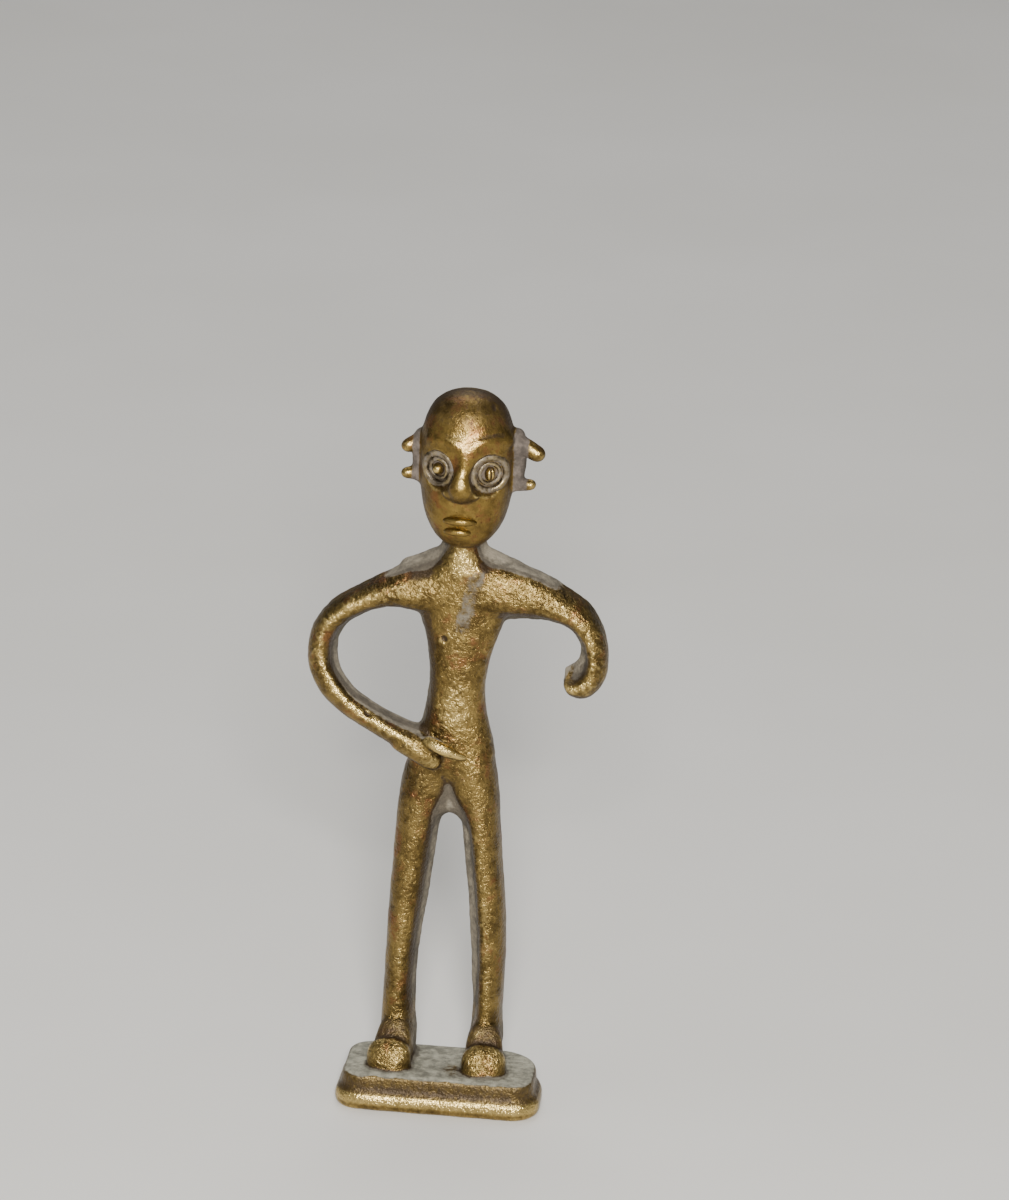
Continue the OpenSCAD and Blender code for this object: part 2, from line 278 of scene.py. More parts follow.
# --- The legs ---
# Two long rods. Each is round in front and flat behind, and the back stands
# out on the inner side as a sloping wall, where the mould drew.
BODY_Y = 2.6                    # the middle of the limbs' depth
BODY_DEPTH = 4.4
UP, ACROSS = 90, 0              # the ways that a limb can run, in degrees
RIGHT_LEG = [   # x, height above the base, width, how far the back stands out inside
    (-5.15, 1.5, 3.9, 0.5), (-5.15, 3.6, 3.7, 0.3), (-5.15, 5.2, 3.55, 0.2), (-5.0, 11, 3.5, 0.4),
    (-4.5, 17, 4.1, 0.55), (-4.2, 20.6, 4.4, 0.6), (-3.9, 24, 4.6, 0.6), (-3.5, 28.2, 4.9, 0.6),
    (-3.0, 30.6, 5.5, 0.1), (-2.65, 32.6, 5.5, 0.1), (-2.2, 34.8, 5.2, 0.2),
]
LEFT_LEG = [
    (4.4, 1.5, 3.9, 1.0), (4.4, 3.6, 3.6, 0.7), (4.4, 5.2, 3.5, 0.6), (4.4, 6.4, 3.5, 0.7),
    (4.25, 12.3, 4.1, 1.15), (3.9, 18, 4.3, 1.2), (3.5, 21.5, 4.3, 1.2), (3.2, 25, 4.4, 1.2),
    (2.85, 28.2, 4.6, 0.95), (2.3, 30.6, 5.3, 0.2), (2.0, 32.6, 5.3, 0.1), (1.8, 34.8, 5.0, 0.2),
]
OUTER_WALL = 0.05
RIGHT_PEAK, LEFT_PEAK = -0.05, 0.05      # where the relief is highest, as a share of half the width


def section(width, depth, left_wall, right_wall, peak):
    """Round a limb cut across: a relief in front, sloping walls and a flat back."""
    left, right = -width / 2, width / 2
    front = 0.02 * depth
    relief = front + depth / 2
    top = peak * width / 2
    points = []
    for a in np.linspace(math.pi, 2 * math.pi, 17):
        reach = right - right_wall - top if math.cos(a) > 0 else top - left - left_wall
        points.append((top + math.cos(a) * reach, front - relief * abs(math.sin(a)) ** 0.88))
    points += [
        (right - right_wall * 0.45, 0.2 * depth), (right, 0.36 * depth), (right - 0.18, 0.46 * depth),
        (right - 0.7, 0.5 * depth), (0, 0.51 * depth), (left + 0.7, 0.5 * depth),
        (left + 0.18, 0.46 * depth), (left, 0.36 * depth), (left + left_wall * 0.45, 0.2 * depth),
    ]
    return points


def limb(bm, stations, steps=4):
    """A limb through stations: x, height, width, direction, walls, peak, y and depth."""
    outlines = []
    path = np.array(eased(stations, steps))
    for _ in range(3):
        path[1:-1] = (path[:-2] + 2 * path[1:-1] + path[2:]) / 4
    for x, height, width, direction, left_wall, right_wall, peak, y, depth in path:
        lean = math.radians(90 - direction)
        outlines.append([
            (x + u * math.cos(lean), y + v, BASE_TOP + height - u * math.sin(lean))
            for u, v in section(width, depth, left_wall, right_wall, peak)
        ])
    loft(bm, outlines)


limb(wax, [
    (x, height, width, UP, OUTER_WALL, inner_wall, RIGHT_PEAK, BODY_Y, BODY_DEPTH)
    for x, height, width, inner_wall in RIGHT_LEG
])
limb(wax, [
    (x, height, width, UP, inner_wall, OUTER_WALL, LEFT_PEAK, BODY_Y, BODY_DEPTH)
    for x, height, width, inner_wall in LEFT_LEG
])

# --- The hips ---
# The thighs run together under the belly. Between them lies a web, set back
# from the front, whose lower edge is a small arch.
WEB = [   # x, height, how tall it is there
    (-2.9, 29.9, 9.0), (-2.0, 30, 8.2), (-1.4, 30.2, 7.0), (-0.85, 30.4, 6.3), (-0.3, 30.5, 6.0),
    (0.25, 30.4, 6.2), (0.8, 30.2, 6.8), (1.4, 30, 8.0), (2.3, 29.9, 9.0),
]
WEB_Y, WEB_DEPTH = 3.2, 3.0
WEB_WALLS = 0.2, 0.5
BELLY = [   # x, height, width, depth
    (-0.1, 31.9, 2.0, 2.6), (-0.1, 32.8, 4.4, 3.6), (-0.15, 34.7, 8.6, 4.4), (-0.15, 36, 8.6, 4.4),
    (-0.1, 38, 7.4, 4.4),
]
BELLY_WALLS = 0.2, OUTER_WALL
limb(wax, [(x, height, tall, ACROSS, *WEB_WALLS, 0, WEB_Y, WEB_DEPTH) for x, height, tall in WEB])
limb(wax, [(x, height, width, UP, *BELLY_WALLS, 0, BODY_Y, depth) for x, height, width, depth in BELLY])

# --- The torso and the neck ---
# A rod pinched at the waist and broad at the shoulders. The neck is a narrow
# relief on a wider back, which runs out on both sides into the shoulders.
TORSO = [   # x, height, width
    (-0.15, 35, 9.0), (-0.1, 37, 7.9), (-0.1, 38.7, 7.1), (-0.1, 41.5, 6.1), (0, 44, 6.2), (0.15, 47, 7.1),
    (0.25, 49.5, 8.6), (0.3, 51.5, 9.6), (0.3, 54.2, 9.8), (0.3, 55.6, 8.4), (0.3, 56.6, 6.4),
]
NECK = [
    (0.3, 53, 9.0), (0.3, 55, 8.8), (0.25, 56.6, 7.2), (0.25, 57.6, 5.6), (0.3, 59.2, 4.5), (0.35, 61.8, 4.3),
]
YOKE = [   # x, height, how tall it is there
    (-6.5, 54.3, 3.6), (-4.2, 54.6, 4.8), (-2.6, 54.8, 6.0), (0.3, 54.8, 7.6), (3, 54.6, 7.0),
    (4.2, 54.4, 6.3), (5.9, 54, 5.8), (7.7, 53.6, 5.0), (9, 53.2, 4.4),
]
YOKE_Y, YOKE_DEPTH = 3.5, 2.6
TORSO_WALLS, NECK_WALLS, YOKE_WALLS = (0.3, -0.15), (0.75, 0.6), (0.3, 0.1)
for stations, walls in ((TORSO, TORSO_WALLS), (NECK, NECK_WALLS)):
    limb(wax, [(x, height, width, UP, *walls, 0, BODY_Y, BODY_DEPTH) for x, height, width in stations])
limb(wax, [(x, height, tall, ACROSS, *YOKE_WALLS, 0, YOKE_Y, YOKE_DEPTH) for x, height, tall in YOKE])

# --- The right arm ---
# One rod bent in a loop. Past the elbow the top is pressed flat, and the front
# edge of that flat is a sharp ridge, rubbed bright. It deepens to the wrist.
RIGHT_ARM = [   # x, height, width, direction, inner wall, outer wall, peak, y, depth
    (-1.5, 53.0, 7.0, 180, 0.7, 0.2, 0, 2.6, 4.4), (-3.2, 53.15, 6.4, 180, 0.7, 0.2, 0, 2.6, 4.4),
    (-5.2, 53.1, 5.5, 183, 0.7, 0.2, 0, 2.6, 4.4), (-7, 52.75, 4.5, 191, 0.7, 0.15, 0.15, 2.6, 4.4),
    (-9.1, 51.9, 3.6, 200, 0.7, 0.1, 0.25, 2.6, 4.4), (-11.2, 50.85, 3.3, 212, 0.65, 0, 0.25, 2.6, 4.4),
    (-13.0, 49.4, 3.2, 228, 0.6, 0, 0.25, 2.6, 4.4), (-14.1, 47.7, 3.2, 248, 0.5, 0, 0.15, 2.6, 4.4),
    (-14.5, 45.9, 3.2, 268, 0.4, 0.1, -0.1, 2.5, 4.3), (-14.3, 43.9, 3.1, 286, 0.25, 0.1, -0.35, 2.35, 4.2),
    (-13.35, 41.95, 3.0, 306, 0.1, 0.15, -0.5, 2.1, 4.1), (-11.9, 40.5, 2.7, 320, 0.1, 0.15, -0.5, 1.8, 3.9),
    (-10.2, 39.45, 2.6, 328, 0.1, 0.15, -0.5, 1.5, 3.8), (-8.4, 38.5, 2.6, 330, 0.1, 0.15, -0.5, 1.3, 3.9),
    (-6.5, 37.55, 2.7, 333, 0.1, 0.15, -0.45, 1.2, 4.2), (-4.4, 36.7, 3.0, 345, 0.1, 0.15, -0.3, 1.2, 4.6),
    (-2.6, 36.1, 2.8, 350, 0.1, 0.15, -0.1, 1.8, 4.2),
]
limb(wax, RIGHT_ARM, 5)

# --- The right hand and its finger ---
# A thin pad of wax on the end of the arm, thumbed flat, and a roll laid over
# its upper edge for the pointing finger.
PALM = [   # x, y, height, radius
    (-5.3, 0.2, 36.9, 1.3), (-4.2, -0.1, 36.5, 1.4), (-3.2, -0.25, 36.0, 1.4), (-2.5, -0.25, 35.4, 1.25),
    (-2.0, -0.15, 34.9, 1.0),
]
FINGER = [
    (-2.3, -0.8, 37.4, 0.7), (-1.6, -1.2, 37.2, 0.8), (-0.8, -1.35, 36.85, 0.78), (0, -1.25, 36.45, 0.7),
    (0.8, -0.95, 36.05, 0.6), (1.5, -0.5, 35.75, 0.45),
]
PALM_SQUASH, FINGER_SQUASH = (1, 0.85, 1), (1, 0.95, 0.9)


def pressed(bm, stations, squash=(1, 1, 1)):
    """A soft roll of wax through stations: x, y, height and radius."""
    for x, y, height, radius in eased(stations, 6):
        placed = Matrix.Translation((x, y, BASE_TOP + height)) @ Matrix.Diagonal((*squash, 1))
        bmesh.ops.create_icosphere(bm, subdivisions=3, radius=radius, matrix=placed)


pressed(wax, PALM, PALM_SQUASH)
pressed(wax, FINGER, FINGER_SQUASH)

# --- The left arm ---
# A shorter rod that curls under itself in a blunt, swollen end.
LEFT_ARM = [   # x, height, width, direction, outer wall, inner wall, peak, y, depth
    (2.2, 53.3, 7.6, 0, 0.1, 1.2, 0, 2.6, 4.4), (3.6, 53.4, 7.3, 0, 0.1, 1.2, 0.05, 2.6, 4.4),
    (6, 53.2, 6.5, -4, 0.1, 1.2, 0.05, 2.6, 4.4), (8.2, 52.9, 5.8, -10, 0.1, 1.2, 0, 2.6, 4.4),
    (10.5, 52.15, 4.6, -24, 0.1, 1.1, -0.05, 2.6, 4.4), (12.75, 51.0, 3.9, -42, 0, 0.95, -0.05, 2.6, 4.4),
    (14.1, 49, 3.3, -64, -0.1, 0.9, -0.05, 2.6, 4.4), (14.5, 47, 3.1, -88, -0.1, 0.9, 0, 2.6, 4.4),
    (14.2, 45.2, 3.5, -112, -0.1, 1.1, 0, 2.6, 4.4), (13.3, 44.1, 3.9, -135, 0, 1.2, 0, 2.6, 4.4),
    (12.4, 43.75, 3.6, -152, 0.1, 1.0, 0, 2.65, 4.2), (11.6, 43.9, 2.8, -160, 0.2, 0.6, 0, 2.7, 3.8),
]
limb(wax, LEFT_ARM, 5)

# --- Casting the body ---
# The wax is melted together, so every joint gets a soft fillet, and the metal
# takes the sand's grain. Then it is sawn where the rods were put together.
GRAIN_SEED = Vector((3.1, 7.7, 1.3))


def fused(bm, voxel):
    """One skin round everything in bm, as arrays of places, edges and faces."""
    bmesh.ops.recalc_face_normals(bm, faces=bm.faces)
    data = bpy.data.meshes.new("wax")
    bm.to_mesh(data)
    bm.free()
    holder = bpy.data.objects.new("wax", data)
    bpy.context.scene.collection.objects.link(holder)
    remesh = holder.modifiers.new("melt", "REMESH")
    remesh.mode = "VOXEL"
    remesh.voxel_size = voxel
    hardened = holder.evaluated_get(bpy.context.evaluated_depsgraph_get())
    melted = bpy.data.meshes.new_from_object(hardened)
    bpy.data.objects.remove(holder)
    bpy.data.meshes.remove(data)
    return melted


def places_of(data):
    co = np.empty(len(data.vertices) * 3)
    data.vertices.foreach_get("co", co)
    return co.reshape(-1, 3)


def edges_of(data):
    ends = np.empty(len(data.edges) * 2, int)
    data.edges.foreach_get("vertices", ends)
    return ends.reshape(-1, 2)


def normals_of(data, co):
    data.vertices.foreach_set("co", co.ravel())
    data.update()
    normals = np.empty(len(co) * 3)
    data.vertices.foreach_get("normal", normals)
    return normals.reshape(-1, 3)


def relaxed(values, ends, turns, share=1.0):
    """Values at vertices, drawn towards their neighbours' mean, turns times."""
    values = values.reshape(len(values), -1).copy()
    count = np.bincount(ends.ravel(), minlength=len(values))[:, None]
    for _ in range(turns):
        total = np.stack([
            np.bincount(ends[:, 0], column[ends[:, 1]], len(values))
            + np.bincount(ends[:, 1], column[ends[:, 0]], len(values))
            for column in values.T
        ], axis=1)
        values += (total / count - values) * share
    return values


def smooth_step(low, high, x):
    t = np.clip((x - low) / (high - low), 0, 1)
    return t * t * (3 - 2 * t)


def lumps(co, size, seed=0.0):
    """Cloudy noise from -1 to 1 at places, with lumps about size across."""
    shift = GRAIN_SEED * (1 + seed)
    return np.array([noise.noise(Vector(p) / size + shift) for p in co]) * 1.6


def in_box(co, low, high):
    return np.all((co > low) & (co < high), axis=1)


BODY_VOXEL = 0.15
SOFTENING = [   # low and high corners of a box, and how far the joints in it run together
    ((-99, -99, -99), (99, 99, BASE_TOP + 0.2), 0.25),
    ((-9, -4.4, BASE_TOP + 0.2), (9, 1.2, 9), 0.3),
    ((-14.5, -9, 38), (-5, 9, 50), 0.3),
    ((-5, -9, 38), (3, 0.3, 43.5), 0.4),
    ((-4, -9, 33), (3, 9, 38), 0.5),
]
SMOOTH_SKIN = [   # boxes round the forearm and the hand, which are grained half as much
    ((-15, -9, 38), (-5, 9, 50)), ((-5, -9, 38), (3, 0.3, 43.5)),
]
BODY_GRAIN = [(3.0, 0.05), (1.1, 0.03), (0.45, 0.022)]           # size of the lumps, height
DINTS = [(-9.05, 43.85, 0.4, 0.3), (-1.2, 52.6, 0.35, 0.28)]     # x, z, radius, depth
TOP_ROUGH = 0.08                                                 # how far the base's top rises

cast = fused(wax, BODY_VOXEL)
ends = edges_of(cast)
co = places_of(cast)
soft = np.ones(len(co))
for low, high, share in SOFTENING:
    soft[in_box(co, low, high)] = share
soft = relaxed(soft, ends, 12)
co = relaxed(co, ends, 26, 0.9 * soft)
normal = normals_of(cast, co)

facing = -normal[:, 1]
grain = 0.6 + 0.4 * smooth_step(34, 40, co[:, 2])
grain[co[:, 2] < BASE_TOP + 0.3] = 0.35
for low, high in SMOOTH_SKIN:
    grain[in_box(co, low, high)] *= 0.5
grain = relaxed(grain, ends, 8)[:, 0]
(broad_size, broad_high), *finer = BODY_GRAIN
relief = broad_high * lumps(co, broad_size)
for seed, (size, high) in enumerate(finer, 1):
    relief = relief + high * lumps(co, size, seed) * grain
dinted = np.zeros(len(co))
for dint_x, dint_z, radius, depth in DINTS:
    away = np.hypot(co[:, 0] - dint_x, co[:, 2] - dint_z)
    dint = np.exp(-((away / radius) ** 2)) * (facing > 0.3)
    relief -= depth * dint
    dinted = np.maximum(dinted, dint)
co = co + normal * relief[:, None]
plain = (co[:, 2] < BASE_TOP + 0.5) & (normal[:, 2] > 0.8)
co[plain, 2] = np.minimum(co[plain, 2], BASE_TOP + TOP_ROUGH)
normal = normals_of(cast, co)


def bowl(co, normal, ends, turns):
    """How hollow (over 0) or proud (under 0) the skin is, in millimetres."""
    return np.einsum("ij,ij->i", relaxed(co, ends, turns) - co, normal)


def wear(co, normal, ends):
    """Where dirt stays and where hands rub, both from 0 to 1."""
    fine, broad = bowl(co, normal, ends, 4), bowl(co, normal, ends, 40)
    grime = np.clip(fine * 18, 0, 1) * 0.5 + smooth_step(0.02, 0.22, broad)
    rub = np.clip(-fine * 14, 0, 0.6) + 0.7 * smooth_step(0.05, 0.3, -broad)
    return np.clip(grime, 0, 1), np.clip(rub, 0, 1)


grime, rub = wear(co, normal, ends)

# Chalky dirt keeps to the walls inside the arms and the legs, the tops of the
# shoulders and the top of the base. A brown line runs where a relief meets it.
x, y, z = co.T
FORK_X = -0.3                          # the middle between the legs
LOOP, HOOK = (-8, 48), (9, 48.5)       # x, z of the middle of each arm's bend
LIP_TOP = 2.0


def inside_of(centre_x, centre_z):
    """How much the skin faces a point, seen from the front."""
    away_x, away_z = x - centre_x, z - centre_z
    turned_in = -(normal[:, 0] * away_x + normal[:, 2] * away_z) / np.hypot(away_x, away_z)
    return smooth_step(0, 0.35, turned_in)


def from_to(low, high, values, blur=1.2):
    """1 between low and high, falling off smoothly past them."""
    return smooth_step(low - blur, low, values) * smooth_step(high + blur, high, values)


wall = np.maximum(smooth_step(1.9, 2.6, y), smooth_step(0.35, 0.05, facing))
between_legs = smooth_step(0.0, 0.3, -normal[:, 0] * np.sign(x - FORK_X)) * from_to(11, 35, z, 3.0)
web = from_to(-2.0, 1.5, x, 0.4) * from_to(31.0, 35.8, z, 0.5) * smooth_step(0.9, 1.5, y)
in_hook = inside_of(*HOOK) * smooth_step(3.5, 5.5, x)
in_arms = np.where(x < 0, inside_of(*LOOP), in_hook) * from_to(40, 56, z)
shoulders = smooth_step(0.25, 0.6, normal[:, 2]) * from_to(57.2, 61, z, 0.5) * from_to(-4.5, 2.6, x, 1.6)
neck_sides = smooth_step(1.3, 2.0, y) * from_to(59, 66, z, 1.0)
ankles = smooth_step(0.5, 1.5, y) * from_to(4.6, 7.5, z, 1.5)
ragged = 0.3 * lumps(co, 1.3, 6)
top = smooth_step(0.45, 0.85, normal[:, 2] + ragged) * from_to(BASE_TOP - 0.25, BASE_TOP + 0.5, z, 0.15)
inner = np.max([between_legs, in_arms], axis=0)
chalk = np.max([wall * inner, web, wall * shoulders, neck_sides, 0.8 * wall * ankles, top], axis=0)
chalk = np.clip(relaxed(chalk, ends, 3)[:, 0], 0, 1)
edge_line = from_to(1.2, 2.1, y, 0.5) * np.max([inner, neck_sides, 0.8 * shoulders], axis=0)
# Faces that look down are painted darker and lose their rub: painted shade under things.
under = smooth_step(0.35, 0.8, -normal[:, 2]) * 0.6 * (z > BASE_TOP + 1)
# The base's wall above the lip is painted darker and loses its rub: painted shade.
base_wall_shade = from_to(1.95, 3.8, z, 0.2) * 0.55 * (z < BASE_TOP + 0.3)
# The upward-facing tops of the insteps are painted darker: painted shade.
instep_shade = in_box(co, (-9, -1.6, 6.2), (9, 0.9, 8.6)) * smooth_step(0.1, 0.5, normal[:, 2]) * 0.6
groin = from_to(31, 37, z, 1.5) * 0.2
# Faces turned towards the camera and the key lamp get extra rub: a painted highlight.
crest_highlight = 0.22 * smooth_step(0.86, 0.99, 0.94 * facing + 0.34 * normal[:, 2])
# The sides turned away from the viewer are painted darker: painted shade on the flanks.
seen = 0.93 * np.abs(facing) + 0.36 * normal[:, 2]
flank_shade = 0.4 * smooth_step(0.45, 0.05, seen) * (z > BASE_TOP + 1)

# A grey smear runs down the chest, the waist is rubbed, a highlight is painted on
# the collar, and the powder is scuffed off the base between the toes.
on_front = smooth_step(0.5, 0.7, facing)
from_smear = np.abs(x - 1.45 - 0.24 * (z - 57.3))
smear = smooth_step(1.5, 0.5, from_smear) * from_to(53.6, 60, z, 0.8) * on_front
waist_patch = smooth_step(3.2, 1.0, np.hypot(x - 0.3, (z - 44.5) * 0.8)) * on_front
flat_back = 1 - smooth_step(0.4, 0.85, normal[:, 1])
scuffed = smooth_step(2.4, 0.8, np.hypot(x - 1.6, y + 1.8)) * top
chalk = np.maximum(chalk * flat_back, 0.56 * smear) - 0.4 * scuffed
collar_highlight = smooth_step(2.6, 0.8, np.hypot(x - 0.8, z - 61.2)) * smooth_step(0.4, 0.7, facing)
# This list mixes real dirt with painted shade: the flank, underside, base wall and instep marks are painted
# shade.
stains_and_shade = [
    dinted, 0.4 * scuffed, 0.45 * smear, 0.3 * shoulders, flank_shade, 0.7 * edge_line, under, base_wall_shade,
    relaxed(instep_shade, ends, 4)[:, 0], groin,
]
grime = np.clip(grime + sum(stains_and_shade), 0, 1)
# The front of the base's lip gets extra rub: a painted highlight over its real wear.
lip_shine = from_to(1.0, 1.8, z, 0.4) * smooth_step(0.1, 0.5, facing) * 0.6
rub = (rub + crest_highlight + 0.3 * waist_patch + 0.5 * collar_highlight) * (1 - top) * (1 - base_wall_shade) + lip_shine
rub = np.clip(rub, 0, 1) * (1 - under) * (1 - 0.25 * (z < LIP_TOP))


def tinted(data, co, layers):
    """The skin as a bmesh that carries its normals and the given masks."""
    normal = normals_of(data, co)
    kept = data.attributes.new("cast_normal", "FLOAT_VECTOR", "POINT")
    kept.data.foreach_set("vector", normal.ravel())
    for name, values in layers.items():
        mask = data.attributes.new(name, "FLOAT", "POINT")
        mask.data.foreach_set("value", values)
    bm = bmesh.new()
    bm.from_mesh(data)
    bpy.data.meshes.remove(data)
    for face in bm.faces:
        face.smooth = True
    return bm


def saw_off(bm, point, normal, low=(-99, -99, -99), high=(99, 99, 99)):
    """Saws bm along a plane inside a box, and gives what lies beyond the plane."""
    point, normal = Vector(point), Vector(normal).normalized()

    def inside(face):
        centre = face.calc_center_median()
        return all(a < c < b for a, c, b in zip(low, centre, high))

    near = [f for f in bm.faces if inside(f)]
    near_edges = list({edge for face in near for edge in face.edges})
    near_verts = list({vert for face in near for vert in face.verts})
    whole = near + near_edges + near_verts
    bmesh.ops.bisect_plane(bm, geom=whole, plane_co=point, plane_no=normal, dist=1e-5)
    marks = bm.faces.layers.int.get("beyond") or bm.faces.layers.int.new("beyond")
    for face in bm.faces:
        face[marks] = inside(face) and (face.calc_center_median() - point).dot(normal) > 0
    piece = bm.copy()
    for mesh, beyond in ((bm, 1), (piece, 0)):
        marks = mesh.faces.layers.int["beyond"]
        gone = [f for f in mesh.faces if f[marks] == beyond]
        bmesh.ops.delete(mesh, geom=gone, context="FACES")
        rim = [e for e in mesh.edges if e.is_boundary]
        caps = bmesh.ops.holes_fill(mesh, edges=rim, sides=0)["faces"]
        for face in caps:
            face.smooth = False
            face[marks] = 0
        bmesh.ops.triangulate(mesh, faces=caps)
    return piece


def put_in(bm, name, material):
    """Makes bm a piece of the model, standing for the CAD node of that name."""
    bmesh.ops.triangulate(bm, faces=[f for f in bm.faces if len(f.verts) > 3])
    bmesh.ops.scale(bm, vec=(MM, MM, MM), verts=bm.verts)
    data = bpy.data.meshes.new(name)
    bm.to_mesh(data)
    bm.free()
    kept = data.attributes.get("cast_normal")
    if kept:
        normals = np.empty(len(data.vertices) * 3)
        kept.data.foreach_get("vector", normals)
        normals = normals.reshape(-1, 3)
        normals /= np.linalg.norm(normals, axis=1)[:, None]
        corners = []
        for face in data.polygons:
            for vertex in face.vertices:
                corners.append(normals[vertex] if face.use_smooth else tuple(face.normal))
        data.attributes.remove(kept)
        data.normals_split_custom_set(corners)
    data.materials.append(material)
    piece = bpy.data.objects.new(name, data)
    bpy.context.scene.collection.objects.link(piece)
    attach(piece, "root")
    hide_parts(name)


# The rubbed colour is laid both where the brass is worn bright and where a highlight is painted.
RED_OXIDE, RUBBED_AND_HIGHLIGHT = colour(122, 78, 50), colour(206, 180, 114)
# The brown dirt colour is laid both on real dirt and on painted shade.
BROWN_DIRT_AND_SHADE, PIT, OLD_DUST = colour(54, 40, 24), colour(50, 36, 20), colour(62, 54, 44)


def aged_brass(name, gold, shade, rust_share, chalk_tint, grain_depth, gloss):
    """Cast brass that has been handled: bright where it is rubbed and where a
    highlight is painted, brown in the hollows and where shade is painted, with
    patches of red oxide and chalky dirt where the masks say."""
    material, tree, shader, places = new_material(name)
    grime, rub, chalk = (
        places.node("Attribute", {}, out=2, attribute_name=mask) for mask in ("grime", "rub", "chalk")
    )
    patches = places.speckle(0.0042, 4, 0.62)
    mottle = places.speckle(0.0010, 3, 0.65)
    fine = places.speckle(0.00036, 2, 0.65)
    body = (patches + mottle * 0.8).between(0.62, 1.15).paint(shade, gold)
    rust = places.speckle(0.0030, 3, 0.7) + mottle * 0.3 + fine * 0.25
    rust = rust.between(1.0 - rust_share, 1.16 - rust_share)
    body = (rust * 0.65).paint(body, RED_OXIDE)
    # Painted highlights come in through the same mask as real rubbing.
    rubbed = (rub + fine * 0.8 - 0.42).between(0.1, 1.0)
    body = rubbed.paint(body, RUBBED_AND_HIGHLIGHT)
    # The brown laid on here is dirt in the hollows and painted shade where the masks carry it.
    dirt_and_shade = (grime + (mottle - 0.5) * 0.8 + (fine - 0.5) * 0.7).between(0.12, 0.85)
    body = (dirt_and_shade * 0.92).paint(body, BROWN_DIRT_AND_SHADE)
    pits = fine.between(0.62, 0.74)
    body = (pits * 0.6).paint(body, PIT)
    powder = (chalk + (mottle - 0.5) * 0.9 + (fine - 0.5) * 0.5).between(0.4, 0.75)
    chalk_shade = tuple(0.4 * c for c in chalk_tint[:3]) + (1,)
    dusty = (mottle * 0.7 + patches * 0.5).between(0.45, 0.75).paint(chalk_shade, chalk_tint)
    dusty = ((grime + fine * 0.6 - 0.3).between(0.1, 0.9) * 0.7).paint(dusty, OLD_DUST)
    body = powder.paint(body, dusty)
    tree.links.new(body.socket, shader.inputs["Base Color"])
    metal = (1 - powder) * (1 - dirt_and_shade * 0.45)
    tree.links.new(metal.socket, shader.inputs["Metallic"])
    rough = (1 - rubbed * 0.25) * (gloss + 0.14 * mottle) + dirt_and_shade * 0.12 + powder * 0.5
    tree.links.new(rough.socket, shader.inputs["Roughness"])
    height = fine + places.speckle(0.0002, 2, 0.6) * 0.4 + mottle * 0.25
    bump = places.node("Bump", {"Height": height, "Strength": 0.9, "Distance": grain_depth})
    tree.links.new(bump.socket, shader.inputs["Normal"])
    return material


CHALK, BASE_CHALK = colour(136, 127, 110), colour(160, 157, 140)
GOLD, SHADE = colour(136, 114, 66), colour(80, 64, 36)
body_brass = aged_brass("body_brass", GOLD, SHADE, 0.2, CHALK, 0.00018, 0.28)
base_brass = aged_brass("base_brass", GOLD, SHADE, -0.1, BASE_CHALK, 0.00014, 0.26)

body = tinted(cast, co, {"grime": grime, "rub": rub, "chalk": chalk})
figure = saw_off(body, (0, 0, BASE_TOP + 0.12), (0, 0, 1))
put_in(body, "base_plate", base_brass)

# The feet come away under the ankles, and the legs under the hips.
ANKLE = BASE_TOP + 4.6
CROTCH = BASE_TOP + 28.2
WAIST = BASE_TOP + 36
NAPE = BASE_TOP + 57
legs = saw_off(figure, (0, 0, CROTCH), (0, 0, -1))
feet = saw_off(legs, (0, 0, ANKLE), (0, 0, -1))
for pair, part in ((feet, "foot"), (legs, "leg")):
    left_one = saw_off(pair, (FORK_X, 0, 0), (1, 0, 0))
    put_in(pair, "right_" + part, body_brass)
    put_in(left_one, "left_" + part, body_brass)

# The arms come away at the shoulders, and their ends past the elbows.
RIGHT_SHOULDER_X, LEFT_SHOULDER_X = -4.9, 4.95
RIGHT_ELBOW, LEFT_ELBOW = BASE_TOP + 46, BASE_TOP + 47
LEFT_ARM_FROM = (-99, -99, BASE_TOP + 37)          # the saw stays above the thighs
RIGHT_ARM_FROM = (-99, -99, BASE_TOP + 34.7)
left_arm = saw_off(figure, (LEFT_SHOULDER_X, 0, 0), (1, 0, 0), LEFT_ARM_FROM)
left_end = saw_off(left_arm, (0, 0, LEFT_ELBOW), (0, 0, -1))
put_in(left_arm, "left_upper_arm", body_brass)
put_in(left_end, "left_stump", body_brass)
right_arm = saw_off(figure, (RIGHT_SHOULDER_X, 0, 0), (-1, 0, 0), RIGHT_ARM_FROM)
right_lower = saw_off(right_arm, (0, 0, RIGHT_ELBOW), (0, 0, -1))
put_in(right_arm, "right_upper_arm", body_brass)
put_in(right_lower, "right_forearm", body_brass)

# The hand lies on the belly, and comes away in front of it.
HAND_BACK_Y = -0.1
HAND_FROM, HAND_TO = (-5.2, -9, BASE_TOP + 32.8), (2.6, 9, BASE_TOP + 39.6)
KNUCKLE, ACROSS_KNUCKLE = (-1.4, 0, BASE_TOP + 36.85), (0.66, 0, 0.75)
hand = saw_off(figure, (0, HAND_BACK_Y, 0), (0, -1, 0), HAND_FROM, HAND_TO)
finger = saw_off(hand, KNUCKLE, ACROSS_KNUCKLE)
put_in(hand, "right_hand", body_brass)
put_in(finger, "right_finger", body_brass)

neck = saw_off(figure, (0, 0, NAPE), (0, 0, 1))
torso = saw_off(figure, (0, 0, WAIST), (0, 0, 1))
put_in(neck, "neck", body_brass)
put_in(torso, "torso", body_brass)
put_in(figure, "hips", body_brass)

